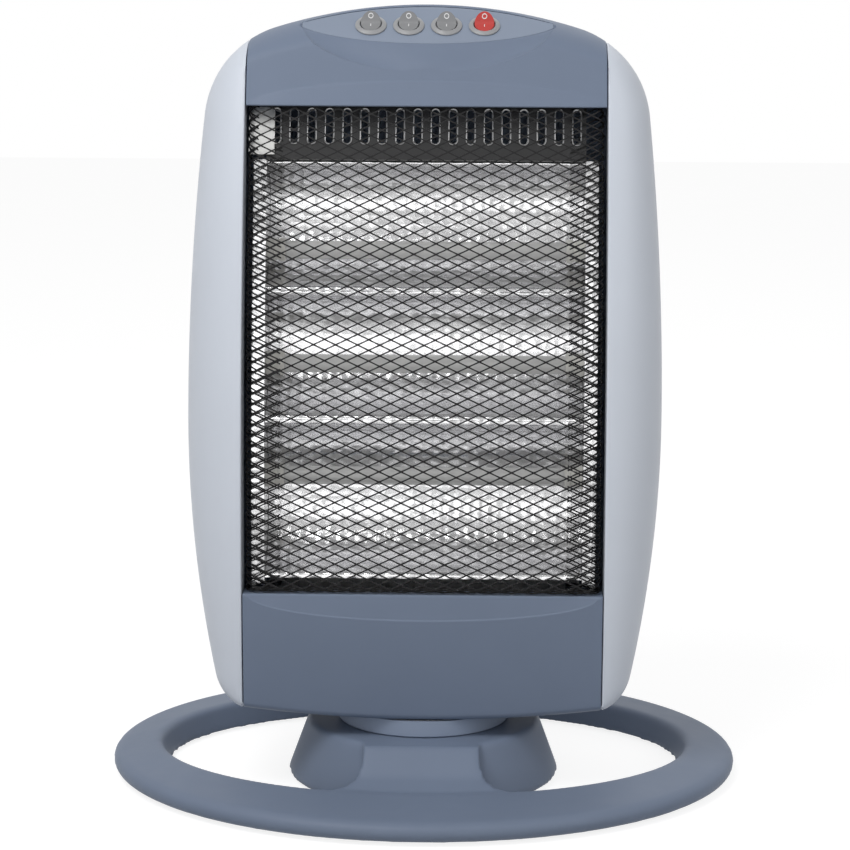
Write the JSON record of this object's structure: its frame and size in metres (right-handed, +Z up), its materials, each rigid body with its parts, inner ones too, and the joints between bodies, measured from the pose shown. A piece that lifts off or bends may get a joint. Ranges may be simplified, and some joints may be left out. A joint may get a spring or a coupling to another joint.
{
  "type": "halogen heater",
  "caption": "Upright radiant heater with three quartz tubes behind a diamond-mesh guard, turning on an oval ring stand, with round rocker switches on top.",
  "frame": {"origin": "on the floor under the middle of the oval stand; the body turns about an axis 16 mm in front of it", "axes": "+Z up, -Y towards the front of the heater, +X to the right of someone facing the front"},
  "size_m": [0.4014, 0.3474, 0.489],
  "materials": {
    "blue_plastic": "fine satin moulded blue-grey plastic",
    "silver_plastic": "silver-grey painted plastic, satin",
    "black_plastic": "black moulded plastic",
    "grey_plastic": "mid-grey moulded plastic",
    "red_plastic": "red translucent-looking rocker plastic",
    "black_wire": "black enamelled steel mesh",
    "bright_aluminium": "bright hammered aluminium",
    "steel": "zinc-plated steel",
    "quartz": "milky quartz",
    "ceramic": "glazed ceramic",
    "rubber": "black rubber"
  },
  "bodies": {
    "stand": {"stand_base": "blue_plastic", "rubber_foot_1": "rubber", "rubber_foot_2": "rubber", "rubber_foot_3": "rubber", "rubber_foot_4": "rubber", "oscillation_motor": "steel", "bearing_ring": "grey_plastic", "pivot_bolt": "steel", "pivot_nut": "steel"},
    "crank": {"crank": "grey_plastic"},
    "heater_body": {"swivel_collar": "blue_plastic", "swivel_plate": "steel", "chassis_floor": "steel", "front_top_panel": "blue_plastic", "front_bottom_panel": "blue_plastic", "left_side_panel": "silver_plastic", "right_side_panel": "silver_plastic", "rear_housing": "blue_plastic", "control_panel": "blue_plastic", "switch_body_oscillation": "grey_plastic", "switch_body_heat_low": "grey_plastic", "switch_body_heat_high": "grey_plastic", "switch_body_power": "grey_plastic", "mesh_guard": "black_wire", "vent_strip": "black_plastic", "reflector_lower": "bright_aluminium", "halogen_tube_lower": "quartz", "tube_holder_left_lower": "ceramic", "tube_holder_right_lower": "ceramic", "reflector_middle": "bright_aluminium", "halogen_tube_middle": "quartz", "tube_holder_left_middle": "ceramic", "tube_holder_right_middle": "ceramic", "reflector_upper": "bright_aluminium", "halogen_tube_upper": "quartz", "tube_holder_left_upper": "ceramic", "tube_holder_right_upper": "ceramic", "left_end_plate": "bright_aluminium", "right_end_plate": "bright_aluminium", "heat_shield": "steel", "tilt_switch": "black_plastic", "cord_gland": "black_plastic"},
    "rocker_oscillation": {"rocker_oscillation": "grey_plastic"},
    "rocker_heat_low": {"rocker_heat_low": "grey_plastic"},
    "rocker_heat_high": {"rocker_heat_high": "grey_plastic"},
    "rocker_power": {"rocker_power": "red_plastic"}
  },
  "joints": [
    {"name": "oscillation", "type": "hinge", "parent": "stand", "child": "heater_body", "pos_m": [0, -0.0163, 0.0475], "axis": [0, 0, 1], "range_deg": [-30, 30]},
    {"name": "crank_turn", "type": "hinge", "parent": "stand", "child": "crank", "pos_m": [0, 0.0117, 0.0396], "axis": [0, 0, 1], "range_deg": [-120, 120]},
    {"name": "oscillation_switch", "type": "hinge", "parent": "heater_body", "child": "rocker_oscillation", "pos_m": [-0.03565, 0.00925, 0.47771], "axis": [1, 0, 0], "range_deg": [-24, 0]},
    {"name": "heat_low_switch", "type": "hinge", "parent": "heater_body", "child": "rocker_heat_low", "pos_m": [-0.01195, 0.00925, 0.47771], "axis": [1, 0, 0], "range_deg": [-24, 0]},
    {"name": "heat_high_switch", "type": "hinge", "parent": "heater_body", "child": "rocker_heat_high", "pos_m": [0.01175, 0.00925, 0.47771], "axis": [1, 0, 0], "range_deg": [-24, 0]},
    {"name": "power_switch", "type": "hinge", "parent": "heater_body", "child": "rocker_power", "pos_m": [0.03545, 0.00925, 0.47771], "axis": [1, 0, 0], "range_deg": [-24, 0]}
  ],
  "couplings": [
    {"joint": "crank_turn", "follows": "oscillation", "ratio": 4}
  ]
}
